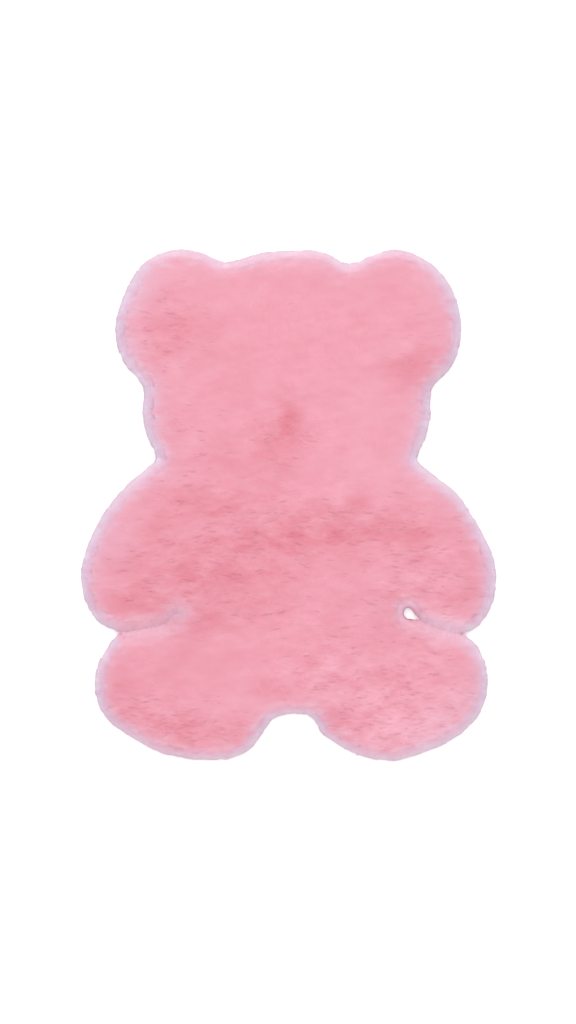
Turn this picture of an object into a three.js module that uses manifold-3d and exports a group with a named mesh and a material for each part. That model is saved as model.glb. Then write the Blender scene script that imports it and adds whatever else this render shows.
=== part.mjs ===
// Bear-shaped plush rug: one panel of long-pile imitation fur, cut to the outline of a bear and lying flat.
// Millimetres, +Z up. The head points along +Y, the underside lies on z = 0, and the origin is the middle of
// the rug's footprint at floor level.
import * as THREE from "three";
import { mergeVertices } from "three/addons/utils/BufferGeometryUtils.js";
import Module from "manifold-3d";

const wasm = await Module();
wasm.setup();

// Driving dimensions
const PILE_TOP = 24; // from the floor to the tips of the standing pile
const WIDEST_AT = 9; // height at which the pile reaches furthest out past the edge of the ground cloth
const UNDERCUT = 7; // how far the ground cloth stops short of the pile around it
const SHOULDER_WIDTH = 20; // distance over which the pile rounds over from its edge to its top
const SHOULDER_OVERSHOOT = 1.5; // the rounding aims this much above the top, to meet it at a clear angle
const CUT_GAP = 1.4; // between the two sides of the cut below each arm, where the pile reaches furthest
const STEP = 15; // spacing of the points along the outline
const TURN_STEP = 20; // and the most that the outline turns from one point to the next, in degrees
const TOP_CELL = 22; // spacing of the grid over the top of the pile
const TOP_MARGIN = 20; // how far the grid runs past the outline before it is cut to it
const SHOULDER_STEPS = 4;
const UNDERCUT_STEPS = 2;
const FUR_PINK = 0xf0a5b6;

const radians = THREE.MathUtils.degToRad;

/** The two sides of a cut as rows of the outline: in along one side, round its end, and out again. */
function sidesOf(cut, end) {
  const side = (row, sign) => ({
    x: row.x - ((sign * CUT_GAP) / 2) * Math.sin(radians(row.heading)),
    y: row.y + ((sign * CUT_GAP) / 2) * Math.cos(radians(row.heading)),
    heading: sign > 0 ? row.heading : row.heading - 180,
  });
  return [...cut.map((row) => side(row, 1)), ...end, ...cut.map((row) => side(row, -1)).reverse()];
}

/** The rounded end of a cut, as a row of the outline. */
function endOf(cut) {
  const last = cut[cut.length - 1];
  return {
    x: last.x + (CUT_GAP / 2) * Math.cos(radians(last.heading)),
    y: last.y + (CUT_GAP / 2) * Math.sin(radians(last.heading)),
    heading: last.heading - 90,
  };
}

// The short cut between each arm and the leg below it, from its mouth inwards: its middle line and the way
// that it runs, in degrees from +X. The pile of the two sides almost touches.
const LEFT_CUT = [
  { at: "mouth", x: -254, y: -197.6, heading: 6 },
  { at: "middle", x: -220, y: -192.3, heading: 12 },
  { at: "bend", x: -190, y: -183, heading: 27 },
  { at: "end", x: -175, y: -169.5, heading: 56 },
];
const RIGHT_CUT = [
  { at: "mouth", x: 264, y: -200.4, heading: 167 },
  { at: "middle", x: 230, y: -191.9, heading: 162 },
  { at: "end", x: 207, y: -180.5, heading: 149 },
];

// The right cut ends in a small three-sided gap, where the pile leaves the floor bare.
const RIGHT_GAP = [
  { at: "gap, leg side", x: 192, y: -178, heading: 177 },
  { at: "gap, inner side", x: 181, y: -170, heading: 89 },
  { at: "gap, top", x: 187.5, y: -161, heading: -8 },
  { at: "gap, arm side", x: 198, y: -172, heading: -49 },
];

// The outline, anticlockwise from the top of the head: where the edge passes and which way it runs there, in
// degrees from +X. The pile is slightly uneven, so the two sides aren't mirror images.
const OUTLINE = [
  { at: "crown", x: 12, y: 399, heading: 180 },
  { at: "left of the crown", x: -57, y: 391, heading: -166 },
  { at: "dip before the left ear", x: -98, y: 380, heading: 180 },
  { at: "left ear, inner side", x: -119, y: 387, heading: 153 },
  { at: "left ear, top", x: -168, y: 400.5, heading: 180 },
  { at: "left ear, upper side", x: -227, y: 378, heading: -137 },
  { at: "left ear, above its side", x: -255, y: 335, heading: -114 },
  { at: "left ear, side", x: -271, y: 274, heading: -90 },
  { at: "left ear, lower side", x: -251, y: 213, heading: -52 },
  { at: "below the left ear", x: -227, y: 185, heading: -71 },
  { at: "left cheek", x: -229, y: 146, heading: -88 },
  { at: "left jaw", x: -216, y: 95, heading: -65 },
  { at: "left of the neck", x: -207, y: 73, heading: -101 },
  { at: "left shoulder", x: -218, y: 61, heading: -139 },
  { at: "left upper arm", x: -260, y: 24, heading: -133 },
  { at: "left arm", x: -301, y: -33, heading: -117 },
  { at: "left arm, outermost", x: -324.5, y: -108, heading: -91 },
  { at: "left paw, side", x: -320, y: -145, heading: -71 },
  { at: "left paw, lower side", x: -302.5, y: -178, heading: -52 },
  { at: "left paw, bottom", x: -283, y: -192, heading: -24 },
  ...sidesOf(LEFT_CUT, [endOf(LEFT_CUT)]),
  { at: "left hip", x: -275, y: -210, heading: -122 },
  { at: "left leg, upper side", x: -296, y: -243, heading: -116 },
  { at: "left leg, outermost", x: -304, y: -278, heading: -90 },
  { at: "left foot, side", x: -292, y: -323, heading: -61 },
  { at: "left foot, outer sole", x: -266, y: -350, heading: -34 },
  { at: "left foot, ball", x: -217, y: -380, heading: -30 },
  { at: "left foot, sole", x: -184, y: -391.5, heading: -13 },
  { at: "left foot, lowest", x: -118, y: -399, heading: 0 },
  { at: "left foot, inner sole", x: -74, y: -391, heading: 27 },
  { at: "left thigh, inner side", x: -44, y: -363, heading: 58 },
  { at: "left of the crotch", x: -27, y: -336, heading: 40 },
  { at: "crotch", x: 8, y: -326.5, heading: 2 },
  { at: "right of the crotch", x: 38, y: -333, heading: -46 },
  { at: "right thigh, inner side", x: 50, y: -355, heading: -54 },
  { at: "right foot, heel", x: 68, y: -369, heading: -30 },
  { at: "right foot, heel, lower side", x: 87, y: -380, heading: -35 },
  { at: "right foot, inner sole", x: 107, y: -391, heading: -18 },
  { at: "right foot, lowest", x: 166, y: -400, heading: 1 },
  { at: "right foot, sole", x: 204, y: -390, heading: 21 },
  { at: "right foot, ball", x: 245, y: -373.5, heading: 28 },
  { at: "right foot, outer sole", x: 282, y: -347, heading: 43 },
  { at: "right foot, side", x: 304, y: -317, heading: 67 },
  { at: "right leg, outermost", x: 312, y: -273, heading: 92 },
  { at: "right leg, upper side", x: 301, y: -229, heading: 119 },
  { at: "right hip", x: 287, y: -211, heading: 139 },
  ...sidesOf(RIGHT_CUT, RIGHT_GAP),
  { at: "right paw, bottom", x: 278, y: -199.5, heading: 7 },
  { at: "right paw, lower side", x: 298, y: -188, heading: 46 },
  { at: "right paw, side", x: 316, y: -162, heading: 65 },
  { at: "right arm, outermost", x: 325, y: -108, heading: 91 },
  { at: "right arm", x: 305, y: -46, heading: 118 },
  { at: "right upper arm", x: 279, y: -2, heading: 124 },
  { at: "right shoulder", x: 242, y: 37, heading: 141 },
  { at: "right of the neck, arm side", x: 210, y: 61, heading: 139 },
  { at: "right of the neck", x: 201, y: 74, heading: 98 },
  { at: "right jaw", x: 208, y: 90, heading: 64 },
  { at: "right cheek", x: 223, y: 146, heading: 88 },
  { at: "below the right ear", x: 224, y: 183, heading: 67 },
  { at: "right ear, lower side", x: 250, y: 210, heading: 53 },
  { at: "right ear, side", x: 270.5, y: 277, heading: 91 },
  { at: "right ear, upper side", x: 238, y: 364.5, heading: 133 },
  { at: "right ear, above its side", x: 216, y: 383, heading: 148 },
  { at: "right ear, top", x: 174, y: 399.5, heading: 173 },
  { at: "right ear, inner side", x: 122, y: 387.5, heading: -155 },
  { at: "dip before the right ear", x: 95, y: 377, heading: 180 },
  { at: "right of the dip", x: 78, y: 384, heading: 146 },
  { at: "right of the crown", x: 58, y: 395, heading: 159 },
];

// Where the pile lies down more than around it: the middle of each soft hollow, its half-length and
// half-width, the direction of its length in degrees from +X, and its depth.
const HOLLOWS = [
  { at: "muzzle", x: 2, y: 112, long: 46, wide: 20, turn: 90, depth: 1.6 },
  { at: "left ear", x: -160, y: 285, long: 55, wide: 30, turn: 20, depth: 1.0 },
  { at: "right cheek", x: 168, y: 205, long: 45, wide: 22, turn: 10, depth: 1.0 },
  { at: "right chest", x: 118, y: 5, long: 95, wide: 22, turn: 14, depth: 1.4 },
  { at: "belly", x: 20, y: -32, long: 130, wide: 26, turn: 4, depth: 1.6 },
  { at: "left side", x: -95, y: -72, long: 90, wide: 32, turn: -8, depth: 1.3 },
  { at: "left paw", x: -225, y: -140, long: 62, wide: 24, turn: -10, depth: 1.2 },
  { at: "left foot", x: -165, y: -345, long: 85, wide: 22, turn: -14, depth: 1.5 },
  { at: "crotch", x: -10, y: -300, long: 50, wide: 18, turn: 5, depth: 1.2 },
  { at: "right foot", x: 95, y: -350, long: 60, wide: 20, turn: -30, depth: 1.3 },
];

/** The signed turn from one heading to another, in degrees, within half a turn either way. */
const turnBetween = (from, to) => THREE.MathUtils.euclideanModulo(to - from + 180, 360) - 180;

/** The edge from one row of the outline to the next: a curve that is nearly an arc where the rows allow. */
function edgeBetween(a, b) {
  const start = new THREE.Vector2(a.x, a.y);
  const end = new THREE.Vector2(b.x, b.y);
  const turn = radians(Math.abs(turnBetween(a.heading, b.heading)));
  const arcShare = turn < 1e-3 ? 1 / 3 : ((2 / 3) * Math.tan(turn / 4)) / Math.sin(turn / 2);
  const handle = start.distanceTo(end) * arcShare;
  const along = ({ heading }) => new THREE.Vector2(Math.cos(radians(heading)), Math.sin(radians(heading)));
  return new THREE.CubicBezierCurve(
    start,
    start.clone().addScaledVector(along(a), handle),
    end.clone().addScaledVector(along(b), -handle),
    end,
  );
}

/** Points round the outline, centred on the origin, each with the unit vector that points into the rug. */
function outlinePoints() {
  const points = [];
  OUTLINE.forEach((row, i) => {
    const next = OUTLINE[(i + 1) % OUTLINE.length];
    const edge = edgeBetween(row, next);
    const turn = Math.abs(turnBetween(row.heading, next.heading));
    const steps = Math.max(1, Math.round(edge.getLength() / STEP), Math.ceil(turn / TURN_STEP));
    for (let k = 0; k < steps; k += 1) {
      const at = edge.getPointAt(k / steps);
      const along = edge.getTangentAt(k / steps);
      points.push({ at, inward: new THREE.Vector2(-along.y, along.x) });
    }
  });
  const middle = new THREE.Box2().setFromPoints(points.map(({ at }) => at)).getCenter(new THREE.Vector2());
  points.forEach(({ at }) => at.sub(middle));
  return points;
}

/** The section of the pile's edge, from the floor up: how far in from the outline it is at each height. */
function edgeSection() {
  const section = [];
  for (let k = UNDERCUT_STEPS; k > 0; k -= 1) {
    const angle = (k / UNDERCUT_STEPS) * (Math.PI / 2);
    section.push({ inset: UNDERCUT * (1 - Math.cos(angle)), z: WIDEST_AT * (1 - Math.sin(angle)) });
  }
  for (let k = 0; k <= SHOULDER_STEPS; k += 1) {
    const angle = (k / SHOULDER_STEPS) * (Math.PI / 2);
    const rise = PILE_TOP + SHOULDER_OVERSHOOT - WIDEST_AT;
    section.push({ inset: SHOULDER_WIDTH * (1 - Math.cos(angle)), z: WIDEST_AT + rise * Math.sin(angle) });
  }
  return section;
}

/** A geometry from vertices and triangles, with only positions, so that shared corners stay shared. */
function meshOf(vertices, triangles) {
  const geometry = new THREE.BufferGeometry();
  geometry.setAttribute("position", new THREE.Float32BufferAttribute(vertices, 3));
  geometry.setIndex(triangles);
  return geometry;
}

/** The rug with its rounded edge and a flat top: one ring of points for each height of the edge's section. */
function roundedPanel(points) {
  const count = points.length;
  const vertices = [];
  const triangles = [];
  const rings = edgeSection();
  rings.forEach(({ inset, z }) =>
    points.forEach(({ at, inward }) => vertices.push(at.x + inset * inward.x, at.y + inset * inward.y, z)),
  );
  for (let ring = 0; ring + 1 < rings.length; ring += 1) {
    for (let k = 0; k < count; k += 1) {
      const a = ring * count + k;
      const b = ring * count + ((k + 1) % count);
      triangles.push(a, b, b + count, a, b + count, a + count);
    }
  }
  const ringPoints = (ring) =>
    points.map(({ at, inward }) => at.clone().addScaledVector(inward, rings[ring].inset));
  const top = (rings.length - 1) * count;
  THREE.ShapeUtils.triangulateShape(ringPoints(0), []).forEach(([a, b, c]) => triangles.push(c, b, a));
  THREE.ShapeUtils.triangulateShape(ringPoints(rings.length - 1), []).forEach(([a, b, c]) =>
    triangles.push(top + a, top + b, top + c),
  );
  return meshOf(vertices, triangles);
}

/** Height of the pile's top at a place on the rug. */
function pileHeight(x, y) {
  return HOLLOWS.reduce((height, hollow) => {
    const turn = radians(hollow.turn);
    const dx = x - hollow.x;
    const dy = y - hollow.y;
    const u = (dx * Math.cos(turn) + dy * Math.sin(turn)) / hollow.long;
    const v = (dy * Math.cos(turn) - dx * Math.sin(turn)) / hollow.wide;
    return height - hollow.depth * Math.exp(-u * u - v * v);
  }, PILE_TOP);
}

/** A block that covers the whole rug, whose top has the pile's hollows: a box with its top pressed down. */
function hollowedBlock(points) {
  const box = new THREE.Box2().setFromPoints(points.map(({ at }) => at)).expandByScalar(TOP_MARGIN);
  const size = box.getSize(new THREE.Vector2());
  const middle = box.getCenter(new THREE.Vector2());
  const columns = Math.ceil(size.x / TOP_CELL);
  const rows = Math.ceil(size.y / TOP_CELL);
  const block = new THREE.BoxGeometry(size.x, size.y, 2 * PILE_TOP, columns, rows, 1);
  block.deleteAttribute("normal");
  block.deleteAttribute("uv");
  block.translate(middle.x, middle.y, 0);
  const merged = mergeVertices(block);
  const position = merged.attributes.position;
  for (let i = 0; i < position.count; i += 1) {
    if (position.getZ(i) > 0) position.setZ(i, pileHeight(position.getX(i), position.getY(i)));
  }
  return merged;
}

/** A closed geometry as a manifold-3d solid. */
function solidOf(geometry) {
  return new wasm.Manifold(
    new wasm.Mesh({
      numProp: 3,
      vertProperties: new Float32Array(geometry.attributes.position.array),
      triVerts: new Uint32Array(geometry.index.array),
    }),
  );
}

/** The whole rug: the rounded panel, cut to the height of its pile. */
function bearRug() {
  const points = outlinePoints();
  const cut = solidOf(roundedPanel(points)).intersect(solidOf(hollowedBlock(points))).getMesh();
  return meshOf(cut.vertProperties, Array.from(cut.triVerts));
}

const rug = new THREE.Mesh(
  bearRug().toNonIndexed(),
  new THREE.MeshStandardMaterial({ color: FUR_PINK, roughness: 0.95, metalness: 0 }),
);
rug.name = "bear_rug";

const group = new THREE.Group();
group.add(rug);
export default group;
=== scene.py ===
"""Bear-shaped plush rug, dressed for rendering.

The rug is one panel of plush cloth. Its ground cloth is a thin knitted sheet that lies on the floor. On it
stands the pile: a dense lower mass, and above that the fibres that show, made as narrow tapered strands. The
strands are gathered into locks, lean sideways, fan out towards the edge and fall over it. Short partings open
between the locks.

Metres, +Z up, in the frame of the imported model: the head points along +Y.
"""

import sys
import logging
import math
from collections.abc import Iterator
from dataclasses import dataclass, field
from enum import Enum

import bpy
import numpy as np
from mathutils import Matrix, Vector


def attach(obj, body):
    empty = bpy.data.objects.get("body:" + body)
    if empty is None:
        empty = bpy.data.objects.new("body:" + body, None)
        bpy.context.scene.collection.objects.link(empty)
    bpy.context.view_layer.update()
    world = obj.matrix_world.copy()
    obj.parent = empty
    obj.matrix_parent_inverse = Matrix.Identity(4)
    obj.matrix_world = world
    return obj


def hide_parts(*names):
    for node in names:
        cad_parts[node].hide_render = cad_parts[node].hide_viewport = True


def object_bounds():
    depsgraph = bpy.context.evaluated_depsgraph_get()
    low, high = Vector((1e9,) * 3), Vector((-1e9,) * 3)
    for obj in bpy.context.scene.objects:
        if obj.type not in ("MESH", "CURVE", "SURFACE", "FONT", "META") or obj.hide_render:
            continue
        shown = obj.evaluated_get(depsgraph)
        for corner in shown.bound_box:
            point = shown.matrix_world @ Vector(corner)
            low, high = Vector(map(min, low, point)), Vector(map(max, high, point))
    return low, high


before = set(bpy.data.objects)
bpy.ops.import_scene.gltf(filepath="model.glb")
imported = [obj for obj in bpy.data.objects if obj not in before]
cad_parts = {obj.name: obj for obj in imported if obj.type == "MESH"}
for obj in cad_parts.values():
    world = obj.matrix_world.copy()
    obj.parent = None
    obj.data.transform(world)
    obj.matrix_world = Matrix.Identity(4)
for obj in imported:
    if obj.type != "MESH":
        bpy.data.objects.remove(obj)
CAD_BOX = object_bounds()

NODE = "bear_rug"
BODY = "root"
SEED = 20

Colour = tuple[float, float, float, float]
Socket = bpy.types.NodeSocket
WHITE = (1.0, 1.0, 1.0, 1.0)

# Points closer together than this are one point.
SAME_POINT = 1e-6
# An edge whose ends are less than this above or under a height lies at that height.
LEVEL = 2e-5
# Whatever is lower than this lies on the floor.
ON_FLOOR = 1e-5
# A vector shorter than this has no direction.
NO_LENGTH = 1e-12

# Two steps that together fill a square evenly: one over the plastic number, and one over its square.
EVEN_STEPS = (0.7548776662466927, 0.5698402909980532)

log = logging.getLogger("bear_rug")


def linear(red: int, green: int, blue: int) -> Colour:
    """Turns a screen colour, from 0 to 255 a channel, into the linear values that a shader takes."""
    channels = [c / 255 for c in (red, green, blue)]
    return (*[c / 12.92 if c <= 0.04045 else ((c + 0.055) / 1.055) ** 2.4 for c in channels], 1.0)


def unit(vectors: np.ndarray) -> np.ndarray:
    """Scales each row to a length of 1."""
    return vectors / np.maximum(np.linalg.norm(vectors, axis=-1, keepdims=True), NO_LENGTH)


def flat(vectors: np.ndarray) -> np.ndarray:
    """Gives each vector of the plane a height of 0."""
    return np.column_stack([vectors, np.zeros(len(vectors))])


def ramp(values: np.ndarray, low: float, high: float) -> np.ndarray:
    """Goes smoothly from 0 at low to 1 at high, which may be the smaller of the two."""
    t = np.clip((values - low) / (high - low), 0, 1)
    return t * t * (3 - 2 * t)


def uneven(draw: np.ndarray) -> np.ndarray:
    """Turns a draw from 0 to 1 into a factor from 0.85 to 1.15."""
    return 0.85 + 0.3 * draw


def at_least(least: float, draw: np.ndarray) -> np.ndarray:
    """Turns a draw from 0 to 1 into a factor from least to 1."""
    return least + (1 - least) * draw


class Drift:
    """A soft random field over the rug: a sum of long waves, so that it changes smoothly and has no grid.

    Attributes:
        WAVES: How many waves are added up.
        LENGTHS: Length of the shortest and the longest wave, as a multiple of the field's size.
    """

    WAVES = 24
    LENGTHS = (1.6, 4.0)

    def __init__(self, seed: int, size: float, stretch: float = 1.0) -> None:
        """Picks the waves.

        Args:
            seed: Number that fixes the field.
            size: Distance over which the field changes, in metres.
            stretch: How many times longer its features are along X than along Y.
        """
        random = np.random.default_rng(seed)
        turn = random.uniform(0, 2 * np.pi, self.WAVES)
        pitch = 2 * np.pi / (size * random.uniform(*self.LENGTHS, self.WAVES))
        self.across = np.stack([np.cos(turn) / stretch, np.sin(turn)]) * pitch
        self.phase = random.uniform(0, 2 * np.pi, self.WAVES)
        self.gain = math.sqrt(2 / self.WAVES)

    def at(self, places: np.ndarray) -> np.ndarray:
        """Gives the field's value at each place, mostly from -2 to 2 and 0 on average."""
        return self.gain * np.cos(places[:, :2] @ self.across + self.phase).sum(axis=1)


@dataclass(frozen=True)
class Patch:
    """A soft-edged oval patch of the rug where the pile looks different.

    Attributes:
        name: Where it is.
        x: Middle of the patch, in metres.
        y: Middle of the patch, in metres.
        long: Half of its length.
        wide: Half of its width.
        turn: Direction of its length, in degrees from +X.
        depth: How strong it is.
    """

    name: str
    x: float
    y: float
    long: float
    wide: float
    turn: float
    depth: float

    def at(self, places: np.ndarray) -> np.ndarray:
        """Gives the patch's strength at each place.

        Args:
            places: Points, of which the first two coordinates count.

        Returns:
            depth in the middle of the patch, falling to 0 around it.
        """
        turn = math.radians(self.turn)
        dx, dy = places[:, 0] - self.x, places[:, 1] - self.y
        u = (dx * math.cos(turn) + dy * math.sin(turn)) / self.long
        v = (dy * math.cos(turn) - dx * math.sin(turn)) / self.wide
        return self.depth * np.exp(-u * u - v * v)


def total_at(patches: tuple[Patch, ...], places: np.ndarray) -> np.ndarray:
    """Adds up the strength of all these patches at each place."""
    return sum(patch.at(places) for patch in patches)


# Where the pile is deeper in colour: partly its own tone, and partly painted shade where the nap turns from
# the light. A patch with a depth under 0 is paler.
DEEPER_TONE_AND_SHADE = (
    Patch("nose", 0.002, 0.130, 0.020, 0.036, 0, 1.00),
    Patch("under the nose", -0.014, 0.088, 0.036, 0.032, 0, 0.60),
    Patch("left ear, middle", -0.168, 0.268, 0.050, 0.036, 0, 0.60),
    Patch("right ear, low", 0.200, 0.208, 0.048, 0.034, 15, 0.90),
    Patch("right cheek, paler", 0.120, 0.185, 0.050, 0.075, 0, -0.25),
    Patch("right of the chin, paler", 0.100, 0.060, 0.055, 0.040, 0, -0.25),
    Patch("left of the chin", -0.085, 0.066, 0.050, 0.030, 0, 0.45),
    Patch("right chest", 0.150, -0.035, 0.085, 0.028, 3, 0.70),
    Patch("above the belly", -0.035, 0.016, 0.060, 0.024, 0, 0.30),
    Patch("belly", 0.010, -0.048, 0.110, 0.034, -2, 0.85),
    Patch("left chest", -0.145, 0.004, 0.070, 0.026, -10, 0.72),
    Patch("left side", -0.120, -0.110, 0.120, 0.055, -6, 0.78),
    Patch("left arm", -0.225, -0.100, 0.060, 0.030, 0, 0.35),
    # Painted shade: the lower side of the left arm, and the left hip below it.
    Patch("left arm, low", -0.235, -0.160, 0.055, 0.024, -4, 1.15),
    Patch("left hip", -0.140, -0.183, 0.050, 0.022, 0, 0.75),
    Patch("right arm, upper side", 0.240, -0.060, 0.050, 0.030, 0, 0.30),
    Patch("right arm, outer side", 0.292, -0.110, 0.026, 0.070, 0, 0.40),
    Patch("right arm, low", 0.215, -0.150, 0.075, 0.016, 3, 0.55),
    Patch("left of the belly's foot", -0.060, -0.155, 0.060, 0.022, 0, 0.25),
    Patch("right of the belly's foot", 0.120, -0.145, 0.050, 0.018, 4, 0.15),
    Patch("right hip", 0.165, -0.202, 0.050, 0.030, 0, 0.45),
    Patch("left leg", -0.160, -0.250, 0.090, 0.045, 0, 0.32),
    Patch("left leg, outer side", -0.268, -0.290, 0.040, 0.050, 0, 0.65),
    Patch("left foot, low", -0.175, -0.350, 0.080, 0.026, -12, 0.74),
    Patch("left foot, lowest", -0.170, -0.382, 0.060, 0.014, -8, 0.36),
    Patch("left foot, inner side", -0.064, -0.355, 0.036, 0.026, 0, 0.55),
    Patch("crotch", -0.024, -0.290, 0.026, 0.015, 0, 0.75),
    Patch("crotch, along its edge", 0.008, -0.307, 0.032, 0.009, 0, 0.50),
    Patch("right of the crotch, paler", 0.036, -0.288, 0.036, 0.024, 0, -0.34),
    Patch("left thigh, inner side, paler", -0.085, -0.298, 0.034, 0.022, 0, -0.26),
    Patch("left shoulder, outer side", -0.205, -0.034, 0.034, 0.024, -30, 0.42),
    Patch("left of the belly, low", -0.060, -0.108, 0.050, 0.026, 0, 0.30),
    Patch("left of the nose", -0.045, 0.130, 0.040, 0.030, 0, 0.22),
    Patch("right foot, low, paler", 0.185, -0.350, 0.070, 0.028, 12, -0.28),
    Patch("right thigh, inner side", 0.070, -0.340, 0.044, 0.022, -38, 0.95),
    Patch("right leg, paler", 0.150, -0.322, 0.050, 0.026, 0, -0.30),
)

# Where the pile is ruffled, so that its locks and partings show.
RUFFLED = (
    Patch("left ear", -0.200, 0.270, 0.070, 0.065, 0, 0.95),
    Patch("right ear", 0.200, 0.235, 0.060, 0.050, 0, 0.55),
    Patch("muzzle", 0.000, 0.110, 0.070, 0.050, 0, 0.70),
    Patch("left cheek", -0.160, 0.120, 0.060, 0.050, 0, 0.50),
    Patch("left shoulder", -0.150, 0.010, 0.100, 0.060, 0, 0.60),
    Patch("belly", 0.040, -0.035, 0.170, 0.050, 3, 1.30),
    Patch("left side", -0.170, -0.120, 0.140, 0.070, 0, 1.00),
    Patch("right arm", 0.210, -0.120, 0.090, 0.070, 0, 1.10),
    Patch("left foot", -0.190, -0.340, 0.110, 0.050, -10, 1.30),
    Patch("right leg", 0.170, -0.290, 0.120, 0.080, 0, 1.30),
    Patch("crotch", 0.040, -0.260, 0.060, 0.050, 0, 0.70),
    Patch("hips", 0.000, -0.170, 0.140, 0.030, 0, 0.35),
    Patch("right foot", 0.170, -0.350, 0.090, 0.036, 10, 1.10),
)

# Where painted light makes the pile by the edge paler than elsewhere by the edge. With a depth under 0 it is
# less pale.
PAINTED_PALE_EDGE = (
    Patch("left ear, upper outer side", -0.235, 0.325, 0.046, 0.026, 50, 0.16),
    Patch("right ear, upper outer side", 0.235, 0.335, 0.040, 0.026, -50, 0.12),
    Patch("left side of the face", -0.207, 0.150, 0.020, 0.070, 0, 0.10),
    Patch("right side of the face", 0.207, 0.125, 0.020, 0.050, 0, 0.08),
    Patch("right side of the neck, under the ear", 0.226, 0.190, 0.018, 0.018, 0, -0.12),
    Patch("left arm, outer side", -0.280, -0.060, 0.040, 0.055, -25, 0.11),
    Patch("right arm, outer side", 0.310, -0.110, 0.020, 0.060, 0, 0.08),
    Patch("right foot, outer side", 0.225, -0.345, 0.070, 0.032, 38, 0.16),
    # Painted shade: along the cuts under the arms, the paleness is the lavender of the shade on the arms'
    # lower sides.
    Patch("right arm, along the cut", 0.256, -0.186, 0.044, 0.009, -12, 0.24),
    Patch("left arm, along the cut", -0.290, -0.180, 0.050, 0.009, 5, 0.10),
    Patch("left of the gap under the right arm", 0.180, -0.172, 0.020, 0.018, 0, -0.26),
    Patch("left ear, lower outer side", -0.240, 0.235, 0.018, 0.036, 0, 0.14),
    Patch("top of the head", 0.000, 0.378, 0.070, 0.014, 0, 0.14),
    Patch("top of the left ear", -0.185, 0.368, 0.050, 0.028, 0, 0.09),
    Patch("left shoulder", -0.228, 0.036, 0.050, 0.026, 25, 0.10),
    Patch("right shoulder", 0.228, 0.040, 0.050, 0.024, -25, 0.12),
    Patch("right leg, under the cut", 0.270, -0.205, 0.040, 0.012, -10, 0.10),
    Patch("right foot, lowest", 0.110, -0.380, 0.050, 0.009, 20, 0.08),
    Patch("left foot, lowest", -0.085, -0.392, 0.040, 0.014, 0, 0.10),
)

# Where the pile keeps clear of an opening that shows the floor.
HELD_BACK = (
    Patch("round the gap under the right arm", 0.193, -0.171, 0.013, 0.012, 0, 1.0),
)


class Outline:
    """The rug's edge seen from above, where its pile reaches furthest."""

    def __init__(self, mesh: bpy.types.Mesh) -> None:
        """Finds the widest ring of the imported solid.

        Args:
            mesh: The solid's mesh, with its doubles merged.
        """
        points = positions_of(mesh)
        pairs = np.empty(len(mesh.edges) * 2, np.int32)
        mesh.edges.foreach_get("vertices", pairs)
        pairs = pairs.reshape(-1, 2)
        self.height = float(points[points[:, 0].argmax(), 2])
        level = np.abs(points[pairs][:, :, 2] - self.height).max(axis=1) < LEVEL
        self.starts = points[pairs[level, 0], :2]
        self.ends = points[pairs[level, 1], :2]

    def contains(self, places: np.ndarray) -> np.ndarray:
        """Tells which places are inside the outline.

        Args:
            places: Points, of which the first two coordinates count.

        Returns:
            True for each place that is inside.
        """
        inside = np.zeros(len(places), bool)
        x, y = places[:, 0], places[:, 1]
        for (x0, y0), (x1, y1) in zip(self.starts, self.ends):
            if y0 != y1:
                inside ^= ((y0 > y) != (y1 > y)) & (x < x0 + (y - y0) * (x1 - x0) / (y1 - y0))
        return inside

    def nearest(self, places: np.ndarray) -> tuple[np.ndarray, np.ndarray]:
        """Measures how far each place is from the edge.

        Args:
            places: Points, of which the first two coordinates count.

        Returns:
            The distance to the edge, and the direction to its nearest point as a unit vector in the plane.
        """
        at = places[:, :2]
        best = np.full(len(at), np.inf)
        toward = np.zeros_like(at)
        for start, end in zip(self.starts, self.ends):
            run = end - start
            share = np.clip((at - start) @ run / (run @ run), 0, 1)
            gap = start + share[:, None] * run - at
            far = (gap * gap).sum(axis=1)
            closer = far < best
            best[closer] = far[closer]
            toward[closer] = gap[closer]
        return np.sqrt(best), unit(toward)


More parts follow.
